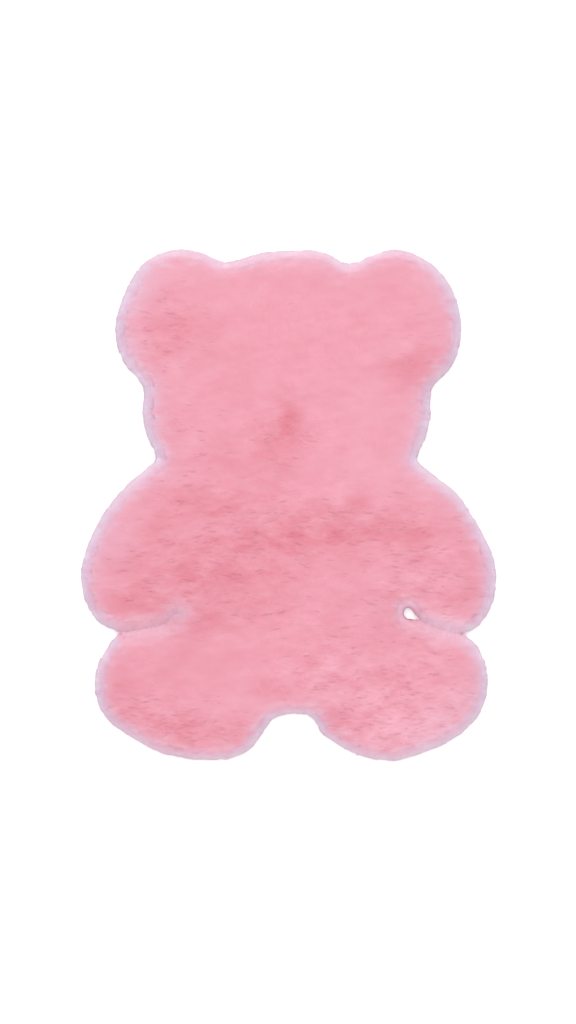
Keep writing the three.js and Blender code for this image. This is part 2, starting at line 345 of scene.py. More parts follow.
@dataclass
class Coat:
    """Where on the rug the pile is deeper in colour, paler by painted light at the edge, or closed over a
    cut.

    Attributes:
        outline: The rug's edge.
        ground: Tone of the pile away from the deeper patches.
        patch_depth: How strong a patch of depth 1 is.
        streaks: Bands along the nap where the pile is a little deeper or paler.
        streak_depth: How strong these bands are.
        streak_shares: Share of them that shows in smooth pile, and how much ruffled pile adds to it.
        ruffled_range: How ruffled the pile is away from the ruffled patches, and at most.
        fade: Width over which painted light makes the pile's colour paler towards the edge.
        fringe: Width of the palest edge, where only the tips of the fibres are left and painted light shows
            through them.
        tail: Width over which the last of the painted paleness goes.
        rim_shares: How pale the fade, the fringe and the tail make the edge.
        cut_loss: Share of the paleness that is lost where the pile closes over a cut.
        held_loss: Share of it that is lost where the pile is held back from a gap.
        low_loss: Share of it that is lost low on the side.
        low_range: Where that loss starts and where it is full, as shares of the widest ring's height.
        steep_loss: Share of it that is lost on a steep side.
        steep_range: How level the surface is where that loss starts, and where it is full.
        fall: Width of the edge over which the pile turns to point outwards.
        cut_side: Distance from the edge within which the pile closes fully over a cut.
        cut_widths: Widths of a cut that are tried, to find how far the pile on its two sides closes it.
    """

    outline: Outline
    ground: float = 0.37
    patch_depth: float = 0.28
    streaks: tuple[Drift, ...] = (
        Drift(seed=41, size=0.0055, stretch=2.2),
        Drift(seed=42, size=0.013, stretch=1.9),
        Drift(seed=43, size=0.024, stretch=1.5),
    )
    streak_depth: float = 0.030
    streak_shares: tuple[float, float] = (0.45, 0.65)
    ruffled_range: tuple[float, float] = (0.06, 1.4)
    fade: float = 0.0165
    fringe: float = 0.0028
    tail: float = 0.040
    rim_shares: tuple[float, float, float] = (0.58, 0.9, 0.12)
    cut_loss: float = 0.4
    held_loss: float = 0.8
    low_loss: float = 0.9
    low_range: tuple[float, float] = (0.95, 0.3)
    steep_loss: float = 0.30
    steep_range: tuple[float, float] = (0.75, 0.2)
    fall: float = 0.024
    cut_side: float = 0.004
    cut_widths: tuple[float, ...] = (0.003, 0.006, 0.009, 0.012)

    def tone_at(self, points: np.ndarray) -> np.ndarray:
        """Finds how deep the pile's colour is.

        Args:
            points: Places in the pile.

        Returns:
            From 0, the palest, to 1.
        """
        smooth, ruffled = self.streak_shares
        deeper = self.patch_depth * total_at(DEEPER_TONE_AND_SHADE, points)
        streaked = self.streak_depth * sum(streak.at(points) for streak in self.streaks)
        return np.clip(self.ground + deeper + streaked * (smooth + ruffled * self.ruffled_at(points)), 0, 1)

    def ruffled_at(self, points: np.ndarray) -> np.ndarray:
        """Gives how ruffled the pile is, from almost 0 where it lies smooth to the top of its range."""
        least, most = self.ruffled_range
        return np.clip(least + total_at(RUFFLED, points), 0, most)

    def held_at(self, points: np.ndarray) -> np.ndarray:
        """Gives how far the pile is held back from a gap that stays open, from 0 to 1."""
        return total_at(HELD_BACK, points)

    def rim_at(
        self, points: np.ndarray, gap: np.ndarray, closed: np.ndarray, level: np.ndarray
    ) -> np.ndarray:
        """Finds how much paler painted light makes the pile near the edge, above all where its tips thin out.

        Args:
            points: Places in the pile.
            gap: Their distance from the edge.
            closed: How closed the pile is there over a cut.
            level: How level the surface is there: 1 on top, 0 on an upright side.

        Returns:
            From 0, away from the edge, to 1.
        """
        start, full = self.low_range
        low = ramp(points[:, 2], start * self.outline.height, full * self.outline.height)
        fade, fringe, tail = self.rim_shares
        # Painted light: paler towards the edge, palest at the outermost tips.
        rim = fade * np.exp(-((gap / self.fade) ** 2)) + fringe * np.exp(-gap / self.fringe)
        rim += tail * np.exp(-gap / self.tail)
        rim = np.minimum(rim, 1) * (1 - self.cut_loss * closed) * (1 - self.held_loss * self.held_at(points))
        rim *= (1 - self.low_loss * low) * (1 - self.steep_loss * ramp(level, *self.steep_range))
        return rim + total_at(PAINTED_PALE_EDGE, points)

    def closed_at(self, points: np.ndarray, gap: np.ndarray, outward: np.ndarray) -> np.ndarray:
        """Finds where the pile closes over a cut, since the cut's other side is near.

        Args:
            points: Where the strands stand.
            gap: Their distance from the edge.
            outward: The direction to the nearest point of the edge.

        Returns:
            How closed the pile is at each strand, from 0 to 1.
        """
        beyond = [points[:, :2] + outward * (gap + width)[:, None] for width in self.cut_widths]
        closed = sum(self.outline.contains(places) for places in beyond) / len(beyond)
        closed = closed * ramp(gap, self.fall, self.cut_side) * (points[:, 2] > self.outline.height)
        return closed * (1 - self.held_at(points))


def positions_of(mesh: bpy.types.Mesh) -> np.ndarray:
    """Reads a mesh's vertices.

    Args:
        mesh: The mesh.

    Returns:
        One vertex a row.
    """
    found = np.empty(len(mesh.vertices) * 3, np.float32)
    mesh.vertices.foreach_get("co", found)
    return found.reshape(-1, 3).astype(np.float64)


def select_only(piece: bpy.types.Object) -> None:
    """Deselects everything else and makes this piece the active one.

    Args:
        piece: The piece that the next operators work on.
    """
    bpy.ops.object.select_all(action="DESELECT")
    piece.select_set(True)
    bpy.context.view_layer.objects.active = piece


def copy_of_solid(name: str) -> bpy.types.Object:
    """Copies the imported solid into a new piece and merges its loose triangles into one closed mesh.

    Args:
        name: Name of the new piece.

    Returns:
        The new piece, which rides on the rug's body.
    """
    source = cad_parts[NODE]
    piece = bpy.data.objects.new(name, source.data.copy())
    piece.data.name = name
    piece.data.materials.clear()
    bpy.context.scene.collection.objects.link(piece)
    select_only(piece)
    bpy.ops.object.mode_set(mode="EDIT")
    bpy.ops.mesh.select_all(action="SELECT")
    bpy.ops.mesh.remove_doubles(threshold=SAME_POINT)
    bpy.ops.mesh.customdata_custom_splitnormals_clear()
    bpy.ops.object.mode_set(mode="OBJECT")
    for layer in list(piece.data.uv_layers):
        piece.data.uv_layers.remove(layer)
    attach(piece, BODY)
    return piece


def apply_all(piece: bpy.types.Object) -> None:
    """Applies a piece's modifiers in their order.

    Args:
        piece: The piece.
    """
    select_only(piece)
    for modifier in [m.name for m in piece.modifiers]:
        bpy.ops.object.modifier_apply(modifier=modifier)


def write_numbers(mesh: bpy.types.Mesh, **numbers: np.ndarray) -> None:
    """Writes numbers into a mesh, one a vertex, for its material to read by their name."""
    for name, values in numbers.items():
        mesh.attributes.new(name, "FLOAT", "POINT").data.foreach_set("value", values.astype(np.float32))


class Nodes:
    """The node tree of a material or of the world, with short calls to add nodes and join them."""

    def __init__(self, owner: bpy.types.Material | bpy.types.World, shader: str = "Principled BSDF") -> None:
        """Turns the nodes on.

        Args:
            owner: The new material or world.
            shader: Name of the shader that it starts with.
        """
        owner.use_nodes = True
        self.owner = owner
        self.tree = owner.node_tree
        self.shader = self.tree.nodes[shader]

    def set(self, node: bpy.types.Node, inputs: dict[str | int, object]) -> None:
        """Sets a node's inputs.

        Args:
            node: The node.
            inputs: For each input, by its name or number, its value or the socket that is joined to it.
        """
        for key, value in inputs.items():
            if isinstance(value, Socket):
                self.tree.links.new(value, node.inputs[key])
            else:
                node.inputs[key].default_value = value

    def add(
        self, kind: str, inputs: dict[str | int, object] | None = None, **settings: object
    ) -> bpy.types.Node:
        """Adds a node.

        Args:
            kind: The node's type, without ShaderNode in front.
            inputs: Its inputs, as set() takes them.
            settings: Properties of the node and their values.

        Returns:
            The new node.
        """
        node = self.tree.nodes.new("ShaderNode" + kind)
        for key, value in settings.items():
            setattr(node, key, value)
        self.set(node, inputs or {})
        return node

    def attribute(self, name: str) -> Socket:
        """Reads one number of the mesh, such as the tone of a strand."""
        return self.add("Attribute", attribute_name=name).outputs["Fac"]

    def places(self) -> Socket:
        """Reads the place on the object."""
        return self.add("TexCoord").outputs["Object"]

    def noise(self, scale: float, detail: float) -> Socket:
        """Reads a noise texture of so many repeats a metre, with so many finer layers."""
        inputs = {"Vector": self.places(), "Scale": scale, "Detail": detail}
        return self.add("TexNoise", inputs).outputs["Fac"]

    def blend(self, share: Socket, low: Socket | Colour, high: Socket | Colour) -> Socket:
        """Mixes two colours, by the share of the second one."""
        return self.add("Mix", {"Factor": share, 6: low, 7: high}, data_type="RGBA").outputs[2]

    def spread(self, value: Socket, low: float, high: float, top: float = 1.0) -> Socket:
        """Rescales a value smoothly, so that low and less give 0, and high and more give top."""
        inputs = {"Value": value, "From Min": low, "From Max": high, "To Max": top}
        return self.add("MapRange", inputs, interpolation_type="SMOOTHSTEP").outputs["Result"]


@dataclass(frozen=True)
class PlushFinish:
    """Dyed pile: dull, with a soft sheen, deeper in its depth and paler where its tips thin out at the edge.

    That paleness is painted light, light that shows through the thin tips. The edges that face left or right
    are greyer lavender, painted shade. The partings hold painted shadow, and the faint clouds are partly
    uneven dye and partly painted shade where the nap turns from the light.

    Attributes:
        tips: Colour of the palest pile.
        shade: Colour of the deepest pile.
        depth: Colour of the fibres' feet.
        depth_share: How much of that colour the feet have.
        depth_end: How far up the fibres it goes.
        edge: Colour of the edges that face the head or the feet, painted pale as light that shows through the
            thin tips.
        shaded_side_edge: Colour of the edges that face left or right, greyer and more lavender as painted
            shade.
        fringe: Colour of the outermost tips, painted pale as light that shows through them.
        fringe_start: How pale the rim is where that colour starts.
        hollow: Colour of the painted shadow in the partings.
        cloud_scale: Repeats a metre of the faint clouds, partly uneven dye and partly painted shade.
        cloud_detail: How many finer layers they have.
        cloud_range: Values of the noise between which a cloud builds up.
        cloud_share: How deep the clouds are.
        roughness: Roughness of the fibres.
        specular: How strongly they shine.
        sheen: How strong the sheen is.
        sheen_roughness: How soft it is.
        sheen_tint: Its colour.
    """

    tips: Colour = linear(251, 190, 204)
    shade: Colour = linear(224, 114, 128)
    depth: Colour = linear(232, 150, 167)
    depth_share: float = 0.7
    depth_end: float = 0.75
    edge: Colour = linear(247, 219, 236)
    shaded_side_edge: Colour = linear(227, 218, 241)
    fringe: Colour = linear(238, 221, 228)
    fringe_start: float = 0.6
    hollow: Colour = linear(186, 108, 126)
    cloud_scale: float = 14.0
    cloud_detail: float = 1.5
    cloud_range: tuple[float, float] = (0.35, 0.75)
    cloud_share: float = 0.08
    roughness: float = 0.9
    specular: float = 0.2
    sheen: float = 0.25
    sheen_roughness: float = 0.45
    sheen_tint: Colour = linear(255, 226, 236)

    def material(self) -> bpy.types.Material:
        """Builds the pile's material.

        Returns:
            The material, which reads the strands' tone, rim, facing, along and hollow.
        """
        nodes = Nodes(bpy.data.materials.new("plush_pile"))
        # Faint clouds: partly uneven dye, partly painted shade where the nap turns from the light.
        clouds = nodes.noise(self.cloud_scale, self.cloud_detail)
        clouds = nodes.spread(clouds, *self.cloud_range, self.cloud_share)
        feet = nodes.spread(nodes.attribute("along"), self.depth_end, 0.0, self.depth_share)
        # Painted light and shade at the edge: paler where light shows through the thin tips, and greyer
        # lavender painted shade on the sides that face left or right.
        rim = nodes.attribute("rim")
        edge = nodes.blend(nodes.attribute("facing"), self.edge, self.shaded_side_edge)
        edge = nodes.blend(nodes.spread(rim, self.fringe_start, 1.0), edge, self.fringe)
        colour = nodes.blend(nodes.attribute("tone"), self.tips, self.shade)
        colour = nodes.blend(clouds, colour, self.shade)
        colour = nodes.blend(feet, colour, self.depth)
        colour = nodes.blend(rim, colour, edge)
        # Painted shadow in the partings.
        colour = nodes.blend(nodes.attribute("hollow"), colour, self.hollow)
        nodes.set(
            nodes.shader,
            {
                "Base Color": colour,
                "Roughness": self.roughness,
                "Specular IOR Level": self.specular,
                "Sheen Weight": self.sheen,
                "Sheen Roughness": self.sheen_roughness,
                "Sheen Tint": self.sheen_tint,
            },
        )
        return nodes.owner


@dataclass(frozen=True)
class KnitFinish:
    """Knitted ground cloth, dyed with its pile: fine wales that show on the underside.

    Attributes:
        yarn: Colour of the yarn.
        hollow: Colour between the loops, where it is painted shade, and of the places where the cloth is
            worn.
        wales: Columns of loops a metre.
        courses: Rows of loops a metre.
        distortion: How uneven the loops are.
        worn_scale: Repeats a metre of the worn places.
        worn_detail: How many finer layers they have.
        worn_range: Values of the noise between which a worn place builds up.
        worn_share: How worn they are.
        relief: Depth of the loops, in metres.
        relief_share: How much of that depth shows.
        roughness: Roughness of the yarn.
    """

    yarn: Colour = linear(240, 190, 202)
    hollow: Colour = linear(220, 158, 174)
    wales: float = 620.0
    courses: float = 480.0
    distortion: float = 0.6
    worn_scale: float = 30.0
    worn_detail: float = 4.0
    worn_range: tuple[float, float] = (0.3, 0.7)
    worn_share: float = 0.35
    relief: float = 0.0004
    relief_share: float = 0.5
    roughness: float = 0.95

    def material(self) -> bpy.types.Material:
        """Builds the ground cloth's material.

        Returns:
            The material.
        """
        nodes = Nodes(bpy.data.materials.new("knitted_ground_cloth"))
        waves = []
        for direction, repeats in (("X", self.wales), ("Y", self.courses)):
            inputs = {
                "Vector": nodes.places(),
                "Scale": repeats / (2 * math.pi),
                "Distortion": self.distortion,
            }
            waves.append(nodes.add("TexWave", inputs, bands_direction=direction).outputs["Fac"])
        weave = nodes.add("Math", dict(enumerate(waves)), operation="MULTIPLY").outputs["Value"]
        worn = nodes.noise(self.worn_scale, self.worn_detail)
        worn = nodes.spread(worn, *self.worn_range, self.worn_share)
        # Painted shade: the hollows between the loops are darker.
        colour = nodes.blend(weave, self.hollow, self.yarn)
        colour = nodes.blend(worn, colour, self.hollow)
        bump = nodes.add("Bump", {"Strength": self.relief_share, "Distance": self.relief, "Height": weave})
        normal = bump.outputs["Normal"]
        nodes.set(nodes.shader, {"Base Color": colour, "Normal": normal, "Roughness": self.roughness})
        return nodes.owner


@dataclass
class GroundCloth:
    """The knitted sheet that the pile stands on, cut a little short of the pile's reach.

    Attributes:
        thickness: The cloth's thickness, in metres.
        downward: How closely a face of the solid points straight down where the cloth is cut from it.
        finish: Its finish.
    """

    thickness: float = 0.002
    downward: float = 0.99
    finish: KnitFinish = field(default_factory=KnitFinish)

    def build(self) -> tuple[bpy.types.Object, float]:
        """Cuts the sheet from the solid's underside and gives it its thickness.

        Returns:
            The sheet, and the area that it was cut to in square metres.
        """
        piece = copy_of_solid("ground_cloth")
        mesh = piece.data
        bpy.ops.object.mode_set(mode="EDIT")
        bpy.ops.mesh.select_mode(type="FACE")
        bpy.ops.mesh.select_all(action="DESELECT")
        bpy.ops.object.mode_set(mode="OBJECT")
        for polygon in mesh.polygons:
            polygon.select = polygon.normal.z >= -self.downward or polygon.center.z >= ON_FLOOR
        bpy.ops.object.mode_set(mode="EDIT")
        bpy.ops.mesh.delete(type="FACE")
        bpy.ops.mesh.select_all(action="SELECT")
        bpy.ops.mesh.normals_make_consistent(inside=False)
        bpy.ops.object.mode_set(mode="OBJECT")
        area = sum(polygon.area for polygon in mesh.polygons)
        if mesh.polygons[0].normal.z > 0:
            mesh.flip_normals()
        solidify = piece.modifiers.new("thickness", "SOLIDIFY")
        solidify.thickness = self.thickness
        solidify.offset = -1
        apply_all(piece)
        mesh.materials.append(self.finish.material())
        return piece, area


@dataclass
class PileMass:
    """The dense lower part of the pile, which the strands stand in and which shows only between them.

    Attributes:
        depth: How far it stays under the tips of the pile.
        voxel: Size of the cells that it is remeshed with.
        unevenness: Height of its bumps.
        bump_size: How wide they are.
        bottom: Height of its underside, just over the ground cloth.
        fibre_level: Where on the fibres its colour is taken from: 0 at their feet, 1 at their tips.
    """

    depth: float = 0.0007
    voxel: float = 0.0035
    unevenness: float = 0.0003
    bump_size: float = 0.012
    bottom: float = 0.0021
    fibre_level: float = 0.8

    def build(self, coat: Coat, material: bpy.types.Material) -> bpy.types.Object:
        """Shrinks a copy of the solid and makes it uneven.

        Args:
            coat: Where the pile is deeper and paler.
            material: The pile's material.

        Returns:
            The piece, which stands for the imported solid.
        """
        piece = copy_of_solid("pile_mass")
        shrink = piece.modifiers.new("depth", "DISPLACE")
        shrink.strength = -self.depth
        shrink.mid_level = 0
        remesh = piece.modifiers.new("even_cells", "REMESH")
        remesh.mode = "VOXEL"
        remesh.voxel_size = self.voxel
        clumps = bpy.data.textures.new("clumps", "CLOUDS")
        clumps.noise_scale = self.bump_size
        clumps.noise_depth = 1
        bumps = piece.modifiers.new("bumps", "DISPLACE")
        bumps.texture = clumps
        bumps.texture_coords = "LOCAL"
        bumps.strength = self.unevenness
        bumps.mid_level = 0.5
        apply_all(piece)
        bpy.ops.object.shade_smooth()
        self._colour(piece.data, coat)
        piece.data.materials.append(material)
        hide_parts(NODE)
        return piece

    def _colour(self, mesh: bpy.types.Mesh, coat: Coat) -> None:
        """Keeps the mass on top of the ground cloth and gives it the colours of the strands on it.

        Args:
            mesh: The mass's mesh.
            coat: Where the pile is deeper and paler.
        """
        points = positions_of(mesh)
        points[:, 2] = np.maximum(points[:, 2], self.bottom)
        mesh.vertices.foreach_set("co", points.astype(np.float32).ravel())
        gap, outward = coat.outline.nearest(points)
        closed = coat.closed_at(points, gap, outward)
        level = np.array([vertex.normal.z for vertex in mesh.vertices])
        # The rim and facing numbers carry the painted light at the edge and the greyer lavender painted shade
        # on its left and right sides.
        write_numbers(
            mesh,
            tone=coat.tone_at(points),
            rim=coat.rim_at(points, gap, closed, level),
            along=np.full(len(points), self.fibre_level),
            hollow=np.zeros(len(points)),
            facing=outward[:, 0] ** 2,
        )
        mesh.update()


class Zone(Enum):
    """The bands of the rug whose strands make one piece each, by the lowest Y that they reach, in metres."""

    EARS = 0.250
    FACE = 0.110
    CHEST = 0.0
    BELLY = -0.100
    HIPS = -0.210
    FEET = -1.0


@dataclass
class Nap:
    """The way in which the pile leans: to the left or the right, mostly towards the nearer side of the rug.

    Attributes:
        mixed: Half the width of the band down the middle in which both ways mix.
        stray: How far that band strays to the sides.
        sway: How far the direction turns from place to place, in radians.
        fan: How far it turns up towards the head's corners, in radians.
        fan_reach: Distance from the middle over which it does so.
        fan_least: Share of that turn which is left below the middle, where it goes the other way.
    """

    mixed: float = 0.06
    stray: float = 0.03
    sway: float = 0.10
    fan: float = 0.15
    fan_reach: float = 0.2
    fan_least: float = -0.1

    def __post_init__(self) -> None:
        """Picks how the nap wanders."""
        self.middle = Drift(seed=9, size=0.05)
        self.turn = Drift(seed=7, size=0.04)

    def right_at(self, places: np.ndarray) -> np.ndarray:
        """Gives the share of the pile that leans to the right, from 0 on the rug's left to 1 on its right."""
        side = places[:, 0] + self.stray * self.middle.at(places)
        return 0.5 + 0.5 * np.tanh(side / self.mixed)

    def at(self, places: np.ndarray, draw: np.ndarray) -> np.ndarray:
        """Finds the direction of the lean.

        Args:
            places: Points, of which the first two coordinates count.
            draw: A random number from 0 to 1 for each, which decides between left and right.

        Returns:
            A unit vector in the plane for each.
        """
        upper = np.clip(np.tanh(places[:, 1] / self.fan_reach), self.fan_least, 1)
        rising = np.tanh(places[:, 0] / self.fan_reach) * upper
        turn = self.sway * self.turn.at(places) + self.fan * rising
        side = np.where(draw < self.right_at(places), 1.0, -1.0)
        return side[:, None] * np.stack([np.cos(turn), np.sin(turn)], axis=1)


class Scatter:
    """Small features strewn over the rug, one for each cell of a grid, each at a random place in its cell.

    Attributes:
        MARGIN: Cells that the grid has past each side of the rug.
        TRAITS: Random numbers that each feature gets. The last two set its direction.
        ASKEW: How far a feature's direction strays from the nap.
    """

    MARGIN = 2
    TRAITS = 6
    ASKEW = 0.35

    def __init__(self, long: float, wide: float, seed: int, nap: Nap) -> None:
        """Strews the features.

        Args:
            long: Length of a cell, along X.
            wide: Width of a cell, along Y.
            seed: Number that fixes the places.
            nap: The way in which the pile leans, which gives each feature its direction.
        """
        random = np.random.default_rng(seed)
        low, high = (np.array(corner[:2]) for corner in CAD_BOX)
        self.cell = np.array([long, wide])
        self.corner = low - self.MARGIN * self.cell
        self.count = np.ceil((high - low) / self.cell).astype(int) + 2 * self.MARGIN
        cells = np.indices(self.count).reshape(2, -1).T
        self.places = self.corner + (cells + random.random(cells.shape)) * self.cell
        self.traits = random.random((len(cells), self.TRAITS))
        ways = nap.at(self.places, self.traits[:, 4])
        askew = (self.traits[:, 5:] - 0.5) * np.stack([-ways[:, 1], ways[:, 0]], axis=1)
        self.ways = unit(ways + self.ASKEW * askew)

    def around(self, places: np.ndarray) -> Iterator[tuple[np.ndarray, np.ndarray, np.ndarray]]:
        """Goes through the nine features nearest to each place.

        Args:
            places: Points, of which the first two coordinates count.

        Yields:
            The feature's index, and how far the place is from its middle, along it and across it.
        """
        cell = np.floor((places[:, :2] - self.corner) / self.cell).astype(int)
        cell = np.clip(cell, 1, self.count - 2)
        for right in (-1, 0, 1):
            for up in (-1, 0, 1):
                index = (cell[:, 0] + right) * self.count[1] + cell[:, 1] + up
                gap = places[:, :2] - self.places[index]
                way = self.ways[index]
                yield index, (gap * way).sum(axis=1), gap[:, 1] * way[:, 0] - gap[:, 0] * way[:, 1]


@dataclass
class Ruffles:
    """What the pile's surface does in small: it gathers into locks, and short partings open between them.

    Attributes:
        nap: The way in which the pile leans.
        lock: Length and width of a lock's cell.
        parting: Length and width of a parting's cell.
        half_length: Half the length of a usual parting.
        half_width: Half its width.
        bend: How far a parting bends.
        lengths: How long the shortest parting is, and how much longer others get, in usual lengths.
        widths: The same for its width, which grows with its length.
        clustering: Share of the partings that open outside the clusters, and how many more do inside.
        cluster_range: Values of the clusters' field between which a cluster begins.
        opening_range: How far past a parting's own limit the ruffling starts it, and opens it fully.
        least_ruffled: Share of the ruffling that the least bold parting feels.
        faintest: How strong the least bold parting is.
        raised_at: How far below a parting the pile is raised, in half widths.
        raised_width: How wide that ridge is, in half widths.
        raised_slope: How much the surface slopes on it.
        streak: How much the pile's tone changes between fine streaks where it is ruffled, painted as their
            shade and highlight.
        slope: How much the surface slopes on the sides of such a streak.
        ragged: How much further the pale rim reaches in one place than in another, as a share of its width.
    """

    nap: Nap
    lock: tuple[float, float] = (0.014, 0.0065)
    parting: tuple[float, float] = (0.014, 0.0052)
    half_length: float = 0.0095
    half_width: float = 0.0011
    bend: float = 0.5
    lengths: tuple[float, float] = (0.3, 1.1)
    widths: tuple[float, float] = (0.6, 0.6)
    clustering: tuple[float, float] = (0.35, 0.9)
    cluster_range: tuple[float, float] = (-0.6, 1.0)
    opening_range: tuple[float, float] = (-0.10, 0.40)
    least_ruffled: float = 0.35
    faintest: float = 0.4
    raised_at: float = 1.9
    raised_width: float = 1.1
    raised_slope: float = 0.50
    streak: float = 0.020
    slope: float = 0.092
    ragged: float = 0.13

    def __post_init__(self) -> None:
        """Strews the locks and the partings."""
        self.locks = Scatter(*self.lock, seed=3, nap=self.nap)
        self.partings = Scatter(*self.parting, seed=5, nap=self.nap)
        self.fine = Drift(seed=44, size=0.0024, stretch=3.2)
        self.clusters = Drift(seed=45, size=0.012, stretch=1.6)
        self.feather = Drift(seed=46, size=0.0055, stretch=2.6)

    def lock_of(self, places: np.ndarray) -> tuple[np.ndarray, np.ndarray]:
        """Finds the nearest lock to each place.

        Args:
            places: Where the strands stand.

        Returns:
            The way to the lock's middle, in the plane, and six random numbers of the lock.
        """
        best = np.full(len(places), np.inf)
        found = np.zeros(len(places), int)
        for index, along, across in self.locks.around(places):
            far = (along / self.lock[0]) ** 2 + (across / self.lock[1]) ** 2
            closer = far < best
            best[closer] = far[closer]
            found[closer] = index[closer]
        return self.locks.places[found] - places[:, :2], self.locks.traits[found]

    def parting_at(self, places: np.ndarray, ruffled: np.ndarray) -> tuple[np.ndarray, ...]:
        """Finds the parting that each place is in or beside.

        Args:
            places: Where the strands stand.
            ruffled: How ruffled the pile is there, from 0 to 1.

        Returns:
            How deep in the parting the place is, from 0 to 1; the way to the parting's middle line; the
            parting's direction; and how strongly the pile below a parting is raised there, from 0 to 1.
        """
        outside, inside = self.clustering
        ruffled = ruffled * (outside + inside * ramp(self.clusters.at(places), *self.cluster_range))
        depth = np.zeros(len(places))
        raised = np.zeros(len(places))
        drawn = np.zeros((len(places), 2))
        ways = np.zeros((len(places), 2))
        for index, along, across in self.partings.around(places):
            way = self.partings.ways[index]
            traits = self.partings.traits[index]
            bold = traits[:, 0]
            across = across - self.bend * (traits[:, 1] - 0.5) * along * np.abs(along) / self.half_length
            size = self.lengths[0] + self.lengths[1] * traits[:, 2] ** 2
            fade = np.clip(1 - (along / (self.half_length * size)) ** 2, 0, 1)
            excess = ruffled * at_least(self.least_ruffled, bold) - traits[:, 3]
            strength = fade * ramp(excess, *self.opening_range) * at_least(self.faintest, bold)
            half_width = self.half_width * (self.widths[0] + self.widths[1] * size)
            near = strength * np.exp(-((across / half_width) ** 2))
            deeper = near > depth
            depth[deeper] = near[deeper]
            ways[deeper] = way[deeper]
            side = np.stack([-way[:, 1], way[:, 0]], axis=1)
            drawn[deeper] = (-side * across[:, None])[deeper]
            below = across * np.sign(way[:, 0]) + self.raised_at * self.half_width
            below = below / (self.raised_width * self.half_width)
            raised = np.maximum(raised, strength * np.exp(-(below**2)))
        return depth, drawn, ways, raised


@dataclass(frozen=True)
class Footing:
    """What is known of the strands before they are shaped. Each array has one row a strand.

    Attributes:
        points: Where the strands reach the pile's surface.
        normals: The surface's direction there.
        gap: Distance from the edge.
        ragged_gap: The same, with the raggedness of the pale rim.
        outward: Direction to the nearest point of the edge.
        near_edge: How fully the strands point outwards, from 0 to 1.
        closed: How closed the pile is over a cut, from 0 to 1.
        ruffled: How ruffled the pile is.
        steep: How steep the surface is, from 0 on top to 1 on an upright side.
        under: How far the side has turned in under the widest ring, from 0 to 1.
        to_lock: The way to the middle of the strand's lock, in the plane.
        traits: Six random numbers of that lock.
        parting: How deep in a parting the strand is, from 0 to 1.
        drawn: The way to the parting's middle line, in the plane.
        ways: The parting's direction, in the plane.
        raised: How strongly the pile is raised below a parting, from 0 to 1.
        tilt: How much the surface slopes along Y, in the ruffles.
        streak: What the fine streaks add to the tone, as painted shade and highlight that follow their slope.
    """

    points: np.ndarray
    normals: np.ndarray
    gap: np.ndarray
    ragged_gap: np.ndarray
    outward: np.ndarray
    near_edge: np.ndarray
    closed: np.ndarray
    ruffled: np.ndarray
    steep: np.ndarray
    under: np.ndarray
    to_lock: np.ndarray
    traits: np.ndarray
    parting: np.ndarray
    drawn: np.ndarray
    ways: np.ndarray
    raised: np.ndarray
    tilt: np.ndarray
    streak: np.ndarray

    def scattered(self, amounts: tuple[float, float], random: np.random.Generator) -> np.ndarray:
        """Draws three random numbers a strand, with one spread on top and so much more on a steep side."""
        on_top, more = amounts
        return (on_top + more * self.steep[:, None]) * random.standard_normal(self.points.shape)


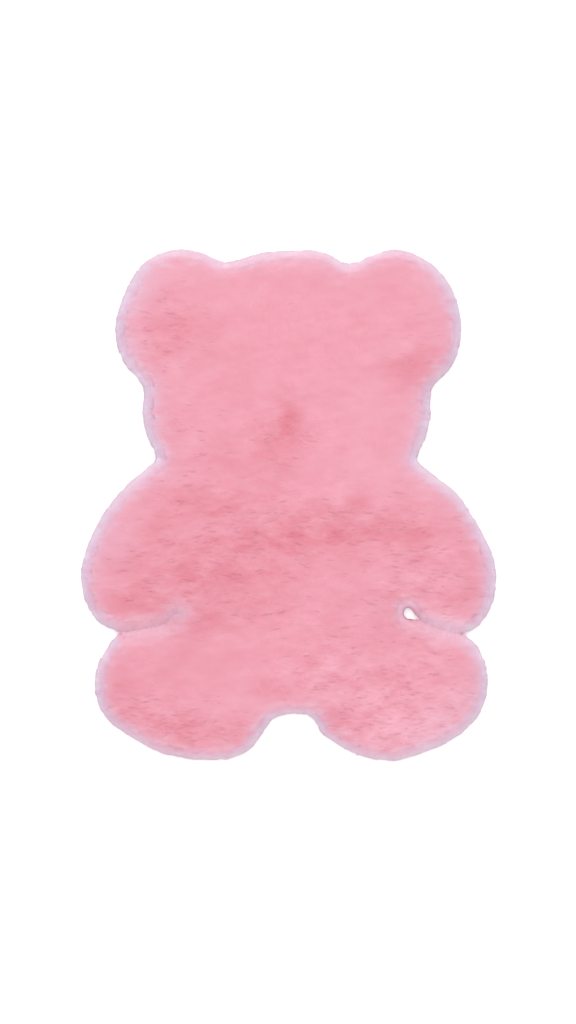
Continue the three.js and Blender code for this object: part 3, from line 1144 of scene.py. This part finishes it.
@dataclass
class StandingPile:
    """The strands that show: where each stands, how it leans, and the lock that it is gathered into.

    Attributes:
        density: Strands on a square metre of the pile's surface.
        width: Width of a strand in its middle.
        widths: How wide the narrowest strand is, and how much wider others get, as shares of that.
        reach: How deep under the surface a strand starts.
        floor_gap: Height over the floor that it keeps.
        lean: How far its tip lies along the nap, for each metre of depth.
        middle: Where its middle is, as a share of the way from its foot to its tip.
        bow: How far its middle bows out, for each metre of depth.
        twist: How far it is twisted, in radians.
        stray: How far a strand's direction strays from that of its neighbours.
        lock_stray: How far a lock's direction strays from the nap.
        follow: How closely the strands in a parting follow it.
        gather: Share of the way that a ruffled lock's tips draw together.
        draw_in: Share of the way that a parting's tips are drawn to its middle line.
        sunk: How far tips are sunk at random.
        crest: How much higher the tips in a parting stand.
        cut_level: Height of the pile where it closes over a cut.
        cut_crown: How much higher it stands beside the cut.
        cut_reach: Distance from the edge over which it gets that much higher.
        cut_rise: Share of the way up to that level that each strand rises at least.
        cut_tips: How far the tips reach over the cut at least, and how much further some do.
        cut_row: Width of the pile beside the cut whose tips reach over it.
        cut_bend: How far back from its tip such a strand bends, and how far up.
        cut_risen: How far a strand has to rise for that.
        cut_lift: How much the pile that closes over a cut faces up.
        edge: Distance from the edge within which the strands point fully outwards.
        drop: How far the strands by the edge lie along the fall of the side.
        tuft: How much further some locks reach at the edge than others.
        tuft_stray: How much further some strands do.
        held: How far the tips by the edge are held back, and how much further by an open gap.
        soften: How much the light that comes through the pile evens out the shade on its steep side.
        splay: How far the fibres by the edge are turned outwards.
        under_splay: How far those under the widest ring are.
        under_end: Height at which that is full, as a share of the widest ring's height.
        glint: How unevenly the strands catch the light, on top, and how much more so on a steep side.
        painted_rim_stray: How unevenly the painted paleness by the edge lies on the strands, in the same way.
        lock_tone: How much the tone changes from one lock to the next.
        strand_tone: How much it changes from one strand to the next.
        painted_parting_shade: How much deeper it is painted in a parting, as the shade between the locks.
        painted_ridge_highlight: How much paler it is painted on the ridge below a parting, as highlight where
            that ridge catches the light.
        hollow: How much of the hollow's colour, which is painted shadow, a parting has.
        nap: The way in which the pile leans.
    """

    density: float = 800_000.0
    width: float = 0.0011
    widths: tuple[float, float] = (0.7, 0.6)
    reach: float = 0.0055
    floor_gap: float = 0.0004
    lean: float = 1.6
    middle: float = 0.55
    bow: float = 0.38
    twist: float = 0.08
    stray: float = 0.25
    lock_stray: float = 0.25
    follow: float = 3.0
    gather: float = 0.15
    draw_in: float = 0.8
    sunk: float = 0.0003
    crest: float = 0.0004
    cut_level: float = 0.0195
    cut_crown: float = 0.0035
    cut_reach: float = 0.020
    cut_rise: float = 0.8
    cut_tips: tuple[float, float] = (0.003, 0.004)
    cut_row: float = 0.010
    cut_bend: tuple[float, float] = (0.0025, 0.0005)
    cut_risen: float = 0.001
    cut_lift: float = 0.8
    edge: float = 0.002
    drop: float = 0.9
    tuft: float = 0.003
    tuft_stray: float = 0.0015
    held: tuple[float, float] = (0.0006, 0.0012)
    soften: float = 1.9
    splay: float = 0.25
    under_splay: float = 1.5
    under_end: float = 0.5
    glint: tuple[float, float] = (0.02, 0.12)
    painted_rim_stray: tuple[float, float] = (0.04, 0.12)
    lock_tone: float = 0.02
    strand_tone: float = 0.005
    painted_parting_shade: float = 0.10
    painted_ridge_highlight: float = 0.14
    hollow: float = 0.32
    nap: Nap = field(default_factory=Nap)

    def surface_points(self, mesh: bpy.types.Mesh) -> tuple[np.ndarray, np.ndarray]:
        """Spreads points evenly over the solid, apart from its underside.

        Args:
            mesh: The solid's merged mesh.

        Returns:
            The points, and the surface's direction at each.
        """
        random = np.random.default_rng(SEED)
        mesh.calc_loop_triangles()
        corners = np.empty(len(mesh.loop_triangles) * 3, np.int32)
        mesh.loop_triangles.foreach_get("vertices", corners)
        corners = corners.reshape(-1, 3)
        points = positions_of(mesh)
        spread = np.cross(
            points[corners[:, 1]] - points[corners[:, 0]],
            points[corners[:, 2]] - points[corners[:, 0]],
        )
        under = points[corners][:, :, 2].max(axis=1) < ON_FLOOR
        corners, spread = corners[~under], spread[~under]
        directions = np.zeros_like(points)
        for k in range(3):
            np.add.at(directions, corners[:, k], spread)
        area = np.linalg.norm(spread, axis=1) / 2
        total = np.cumsum(area)
        count = int(total[-1] * self.density)
        chosen = np.searchsorted(total, (np.arange(count) + random.random(count)) / count * total[-1])
        chosen = corners[np.minimum(chosen, len(corners) - 1)]
        # Places in a square. Those past its diagonal are turned back into the triangle.
        even = np.arange(count)
        a, b = (even * step % 1 for step in EVEN_STEPS)
        over = a + b > 1
        a[over], b[over] = 1 - a[over], 1 - b[over]
        weights = np.stack([1 - a - b, a, b], axis=1)[:, :, None]
        return (points[chosen] * weights).sum(axis=1), unit((unit(directions)[chosen] * weights).sum(axis=1))

    def footing(self, points: np.ndarray, normals: np.ndarray, coat: Coat) -> Footing:
        """Gathers what the rug is like where each strand stands.

        Args:
            points: Where the strands reach the pile's surface.
            normals: The surface's direction there.
            coat: Where the pile is deeper, paler or closed over a cut.

        Returns:
            What is known of the strands.
        """
        gap, outward = coat.outline.nearest(points)
        near_edge = ramp(gap, coat.fall, self.edge)
        ruffled = coat.ruffled_at(points)
        ruffles = Ruffles(self.nap)
        to_lock, traits = ruffles.lock_of(points)
        parting, drawn, ways, raised = ruffles.parting_at(points, ruffled * (1 - near_edge))
        fine = ruffles.fine.at(points) * ruffled
        height = coat.outline.height
        return Footing(
            points=points,
            normals=normals,
            gap=gap,
            ragged_gap=gap * (1 + ruffles.ragged * ruffles.feather.at(points)),
            outward=flat(outward),
            near_edge=near_edge,
            closed=coat.closed_at(points, gap, outward),
            ruffled=ruffled,
            steep=1 - np.clip(normals[:, 2], 0, 1),
            under=ramp(points[:, 2], height, self.under_end * height),
            to_lock=to_lock,
            traits=traits,
            parting=parting,
            drawn=drawn,
            ways=ways,
            raised=raised,
            tilt=ruffles.raised_slope * raised - ruffles.slope * fine,
            # Painted shade and highlight that follow the fine streaks' slope.
            streak=ruffles.streak * fine,
        )

    def lay_at(self, at: Footing) -> np.ndarray:
        """Finds the direction in which each strand leans.

        Args:
            at: What is known of the strands.

        Returns:
            A level unit vector for each strand.
        """
        random = np.random.default_rng(SEED + 3)
        lay = unit(self.nap.at(at.points, at.traits[:, 4]) + self.lock_stray * (at.traits[:, :2] - 0.5))
        lay += self.stray * random.standard_normal(lay.shape)
        lay = unit(lay)
        lay += self.follow * (at.ways - lay) * at.parting[:, None]
        return flat(unit(lay))

    def facing_at(self, at: Footing, fall: float) -> np.ndarray:
        """Finds the direction from which each strand takes its light.

        Args:
            at: What is known of the strands.
            fall: Width of the edge over which the pile turns to point outwards.

        Returns:
            A unit vector for each strand.
        """
        lift = self.cut_lift * at.closed + self.soften * at.steep * (1 - at.under)
        splay = self.under_splay * at.under
        splay += self.splay * np.exp(-at.gap / fall) * at.normals[:, 2].clip(0, 1)
        upward = np.array([0, 0, 1]) * lift[:, None]
        slope = np.array([0, 1, 0]) * at.tilt[:, None]
        return unit(at.normals + upward + at.outward * splay[:, None] + slope)

    def bent(
        self, at: Footing, facing: np.ndarray, held: np.ndarray, random: np.random.Generator
    ) -> tuple[np.ndarray, np.ndarray, np.ndarray]:
        """Bends the strands along the nap, over the edge and over the cuts.

        Args:
            at: What is known of the strands.
            facing: The direction from which each takes its light.
            held: How far each is held back from an open gap.
            random: Where the random draws come from.

        Returns:
            The foot, the middle and the tip of each strand.
        """
        count = len(at.points)
        inner = 1 - at.near_edge
        level = self.cut_level + self.cut_crown * (1 - np.clip(1 - at.gap / self.cut_reach, 0, 1) ** 2)
        rise = at.closed * np.clip(level - at.points[:, 2], 0, None)
        rise *= at_least(self.cut_rise, random.random(count))
        down = at.outward * at.normals[:, 2:]
        down[:, 2] = -(at.normals * at.outward).sum(axis=1)
        along = self.lay_at(at) * inner[:, None] + self.drop * down * at.near_edge[:, None]
        along -= at.normals * (along * at.normals).sum(axis=1, keepdims=True)

        lean = self.lean * uneven(at.traits[:, 2]) * uneven(random.random(count))
        depth = self.reach * uneven(random.random(count))
        pull = at.to_lock * (self.gather * inner * at.ruffled)[:, None]
        pull += at.drawn * (self.draw_in * at.parting)[:, None]
        low = self.sunk * random.random(count) - self.crest * at.parting
        top = at.points + flat(pull) - at.normals * low[:, None]
        top[:, 2] += rise
        foot = at.points - at.normals * depth[:, None] - along * (lean * depth)[:, None]

        least, more = self.cut_tips
        over = at.closed * ramp(at.gap, self.cut_row, 0.0) * (least + more * random.random(count))
        tuft = self.tuft * (at.traits[:, 3] - 0.5) + self.tuft_stray * (random.random(count) - 0.5)
        back = self.held[0] + self.held[1] * held
        tip = top + at.outward * (over + (tuft - back) * at.near_edge)[:, None]
        middle = foot + (tip - foot) * self.middle + at.normals * (self.bow * depth)[:, None]
        bend = top - at.outward * self.cut_bend[0] + facing * self.cut_bend[1]
        middle += (bend - middle) * (at.closed * (rise > self.cut_risen))[:, None]
        return foot, middle, tip

    def tone_at(self, at: Footing, coat: Coat, random: np.random.Generator) -> np.ndarray:
        """Finds how deep each strand's colour is.

        Args:
            at: What is known of the strands.
            coat: Where the pile is deeper in colour.
            random: Where the random draws come from.

        Returns:
            From 0, the palest, to 1.
        """
        tone = coat.tone_at(at.points) + self.lock_tone * (at.traits[:, 3] - 0.5)
        tone += self.strand_tone * random.standard_normal(len(tone))
        # Painted shadow deepens the partings, painted highlight pales the ridges below them, and the fine
        # streaks add their painted shade and highlight.
        tone += self.painted_parting_shade * at.parting - self.painted_ridge_highlight * at.raised + at.streak
        return np.clip(tone, 0, 1)

    def strands(self, points: np.ndarray, normals: np.ndarray, coat: Coat) -> dict[str, np.ndarray]:
        """Works out every strand's foot, middle and tip, its shading and its tone.

        Args:
            points: Where the strands reach the pile's surface.
            normals: The surface's direction there.
            coat: Where the pile is deeper, paler or closed over a cut.

        Returns:
            Arrays of one row a strand: foot, middle, tip, across, normal, tone, hollow, facing and rim.
        """
        random = np.random.default_rng(SEED + 1)
        at = self.footing(points, normals, coat)
        facing = self.facing_at(at, coat.fall)
        foot, middle, tip = self.bent(at, facing, coat.held_at(points), random)
        direction = unit(tip - middle)
        sideways = unit(np.cross(direction, facing))
        upright = np.cross(sideways, direction)
        roll = self.twist * random.standard_normal(len(points))
        sideways = sideways * np.cos(roll)[:, None] + upright * np.sin(roll)[:, None]
        normal = unit(facing + at.scattered(self.glint, random))
        tone = self.tone_at(at, coat, random)
        # The painted paleness of the edge, unevenly spread over the strands.
        rim = at.scattered(self.painted_rim_stray, random)
        for column, place in enumerate((foot, middle, tip)):
            away = at.ragged_gap + ((tip - place) * at.outward).sum(axis=1)
            rim[:, column] += coat.rim_at(place, np.maximum(away, 0), at.closed, normals[:, 2])
        least, more = self.widths
        wide = self.width * (least + more * random.random(len(points)))
        return {
            "foot": foot,
            "middle": middle,
            "tip": tip,
            "across": sideways * wide[:, None] / 2,
            "normal": normal,
            "tone": tone,
            # Painted shadow in the partings.
            "hollow": self.hollow * at.parting,
            # Picks the greyer lavender painted shade for the edges that face left or right.
            "facing": at.outward[:, 0] ** 2,
            "rim": np.clip(rim, 0, 1),
        }

    def piece(
        self, name: str, strands: dict[str, np.ndarray], material: bpy.types.Material
    ) -> bpy.types.Object:
        """Joins strands into one mesh, each a narrow blade of two triangles that tapers to its tip.

        Args:
            name: The piece's name.
            strands: The strands' arrays, as strands() gives them.
            material: The pile's material.

        Returns:
            The new piece.
        """
        order = self._in_rows(strands["tip"])
        strands = {key: value[order] for key, value in strands.items()}
        foot, middle, tip, across = (strands[key] for key in ("foot", "middle", "tip", "across"))
        count = len(foot)
        corners = np.stack([foot, middle - across, middle + across, tip], axis=1)
        corners[:, :, 2] = np.maximum(corners[:, :, 2], self.floor_gap)
        first = np.arange(count, dtype=np.int32)[:, None]
        triangles = first * 4 + np.array([0, 2, 1, 1, 2, 3], np.int32)
        mesh = bpy.data.meshes.new(name)
        mesh.vertices.add(count * 4)
        mesh.vertices.foreach_set("co", corners.astype(np.float32).ravel())
        mesh.loops.add(count * 6)
        mesh.loops.foreach_set("vertex_index", triangles.ravel())
        mesh.polygons.add(count * 2)
        mesh.polygons.foreach_set("loop_start", (first * 6 + np.array([0, 3], np.int32)).ravel())
        mesh.update(calc_edges=True)
        mesh.polygons.foreach_set("use_smooth", np.ones(count * 2, bool))
        write_numbers(
            mesh,
            tone=np.repeat(strands["tone"], 4),
            hollow=np.repeat(strands["hollow"], 4),
            facing=np.repeat(strands["facing"], 4),
            rim=strands["rim"][:, [0, 1, 1, 2]].ravel(),
            along=np.tile([0.0, 0.5, 0.5, 1.0], count),
        )
        self._map(mesh, count)
        mesh.normals_split_custom_set_from_vertices(np.repeat(strands["normal"], 4, axis=0))
        mesh.materials.append(material)
        piece = bpy.data.objects.new(name, mesh)
        bpy.context.scene.collection.objects.link(piece)
        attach(piece, BODY)
        return piece

    def _in_rows(self, places: np.ndarray) -> np.ndarray:
        """Sorts places into rows from the legs to the head, and each row from left to right.

        Args:
            places: Where the strands are.

        Returns:
            The order, with as many places in a row as there are rows.
        """
        cells = math.ceil(math.sqrt(len(places)))
        order = np.argsort(places[:, 1])
        rows = [order[start : start + cells] for start in range(0, len(order), cells)]
        return np.concatenate([row[np.argsort(places[row, 0])] for row in rows])

    def _map(self, mesh: bpy.types.Mesh, count: int) -> None:
        """Gives each strand a cell of its own on a map, next to those of its neighbours.

        Args:
            mesh: The strands' mesh, in rows.
            count: How many strands it has.
        """
        cells = math.ceil(math.sqrt(count))
        index = np.arange(count)
        corner = np.stack([index % cells, index // cells], axis=1)[:, None, :]
        foot, left, right, tip = (0.5, 0.1), (0.1, 0.5), (0.9, 0.5), (0.5, 0.9)
        blade = np.array([foot, right, left, left, right, tip])
        layer = mesh.uv_layers.new(name="OFBake")
        layer.uv.foreach_set("vector", ((corner + blade) / cells).astype(np.float32).ravel())

    def build(
        self, mesh: bpy.types.Mesh, coat: Coat, material: bpy.types.Material
    ) -> list[bpy.types.Object]:
        """Makes the strands, one piece for each zone of the rug.

        Args:
            mesh: The solid's merged mesh.
            coat: Where the pile is deeper, paler or closed over a cut.
            material: The pile's material.

        Returns:
            The pieces.
        """
        points, normals = self.surface_points(mesh)
        strands = self.strands(points, normals, coat)
        made = []
        top = math.inf
        for zone in Zone:
            inside = (points[:, 1] >= zone.value) & (points[:, 1] < top)
            top = zone.value
            part = {key: value[inside] for key, value in strands.items()}
            made.append(self.piece("pile_" + zone.name.lower(), part, material))
            log.info("%s: %d strands", made[-1].name, inside.sum())
        return made


@dataclass
class Studio:
    """Plain floor, soft light and the camera.

    Attributes:
        view_height: How much of the floor the picture takes in from top to bottom, in metres.
        centre: Point of the floor in the middle of the picture.
        lens: The camera's focal length, in millimetres.
        sensor: Its sensor's long side, in millimetres.
        distance: How far away the lamp is, in metres.
        tilt: How far it is tilted from straight above towards the head's side, in degrees.
        turn: How far it is turned from there to the left, in degrees.
        spread: Half the angle that it takes up, seen from the rug, in degrees.
        strength: How bright its light is on the rug, in watts a square metre.
        sky: Colour of the light from all round.
        sky_strength: How strong that light is.
        floor_size: Length of the floor's sides.
        floor_colour: Colour of the floor.
        floor_roughness: Its roughness.
        floor_glow: How much the camera sees it glow, so that it looks white.
        clearance: How far the floor stays under the rug, so that their faces don't coincide.
    """

    view_height: float = 1.606
    centre: tuple[float, float] = (-0.001, -0.011)
    lens: float = 85.0
    sensor: float = 36.0
    distance: float = 9.0
    tilt: float = 18.0
    turn: float = 6.0
    spread: float = 20.0
    strength: float = 1.43
    sky: Colour = linear(247, 249, 255)
    sky_strength: float = 0.74
    floor_size: float = 60.0
    floor_colour: Colour = linear(236, 236, 238)
    floor_roughness: float = 0.9
    floor_glow: float = 0.43
    clearance: float = 0.0004

    def camera(self) -> None:
        """Hangs the camera straight above the rug, with the head at the top of the picture."""
        data = bpy.data.cameras.new("camera")
        data.lens = self.lens
        data.sensor_width = self.sensor
        camera = bpy.data.objects.new("camera", data)
        bpy.context.scene.collection.objects.link(camera)
        camera.location = (*self.centre, self.view_height * self.lens / self.sensor)
        bpy.context.scene.camera = camera

    def lamp(self) -> None:
        """Lights the rug with one wide soft lamp, tilted so that the head is a little brighter."""
        tilt, turn = math.radians(self.tilt), math.radians(self.turn)
        radius = self.distance * math.tan(math.radians(self.spread))
        data = bpy.data.lights.new("key", "AREA")
        data.shape = "DISK"
        data.size = 2 * radius
        data.energy = self.strength * math.pi * (self.distance**2 + radius**2)
        lamp = bpy.data.objects.new("key", data)
        bpy.context.scene.collection.objects.link(lamp)
        lamp.rotation_euler = (tilt, 0, math.pi + turn)
        lamp.location = (
            -self.distance * math.sin(tilt) * math.sin(turn),
            self.distance * math.sin(tilt) * math.cos(turn),
            self.distance * math.cos(tilt),
        )

    def world(self) -> None:
        """Surrounds the rug with pale light, and shows white behind it."""
        world = bpy.data.worlds.new("studio")
        bpy.context.scene.world = world
        nodes = Nodes(world, "Background")
        nodes.set(nodes.shader, {"Color": self.sky, "Strength": self.sky_strength})
        seen = nodes.add("Background", {"Color": WHITE, "Strength": 1.0})
        camera_ray = nodes.add("LightPath").outputs["Is Camera Ray"]
        mix = nodes.add("MixShader", {"Fac": camera_ray, 1: nodes.shader.outputs[0], 2: seen.outputs[0]})
        nodes.set(nodes.tree.nodes["World Output"], {"Surface": mix.outputs["Shader"]})

    def floor(self) -> None:
        """Lays the white floor, which keeps the rug's faint shadow."""
        bpy.ops.object.select_all(action="DESELECT")
        bpy.ops.mesh.primitive_plane_add(size=self.floor_size, location=(0, 0, -self.clearance))
        bpy.ops.object.transform_apply()
        floor = bpy.context.object
        floor.name = "floor"
        nodes = Nodes(bpy.data.materials.new("floor"))
        nodes.set(nodes.shader, {"Base Color": self.floor_colour, "Roughness": self.floor_roughness})
        nodes.set(nodes.shader, {"Specular IOR Level": 0.0})
        camera_ray = nodes.add("LightPath").outputs["Is Camera Ray"]
        level = nodes.add("Math", {0: camera_ray, 1: self.floor_glow}, operation="MULTIPLY")
        glow = nodes.add("Emission", {"Color": WHITE, "Strength": level.outputs["Value"]})
        both = nodes.add("AddShader", {0: nodes.shader.outputs["BSDF"], 1: glow.outputs["Emission"]})
        nodes.set(nodes.tree.nodes["Material Output"], {"Surface": both.outputs["Shader"]})
        floor.data.materials.append(nodes.owner)

    def build(self) -> None:
        """Sets up the camera, the light and the floor."""
        self.camera()
        self.lamp()
        self.world()
        self.floor()
        bpy.context.scene.view_settings.view_transform = "Standard"


def main() -> None:
    """Builds the rug and its studio, and reports each piece."""
    logging.basicConfig(level=logging.INFO, format="%(name)s: %(message)s", stream=sys.stdout, force=True)
    bpy.ops.object.select_all(action="DESELECT")
    Studio().build()
    plush = PlushFinish().material()

    cloth, area = GroundCloth().build()
    log.info("%s: %.3f square metres", cloth.name, area)
    pattern = copy_of_solid("pattern")
    coat = Coat(Outline(pattern.data))
    mass = PileMass().build(coat, plush)
    log.info("%s: %d faces", mass.name, len(mass.data.polygons))
    strands = StandingPile().build(pattern.data, coat, plush)
    bpy.data.objects.remove(pattern)


if __name__ == "__main__":
    main()
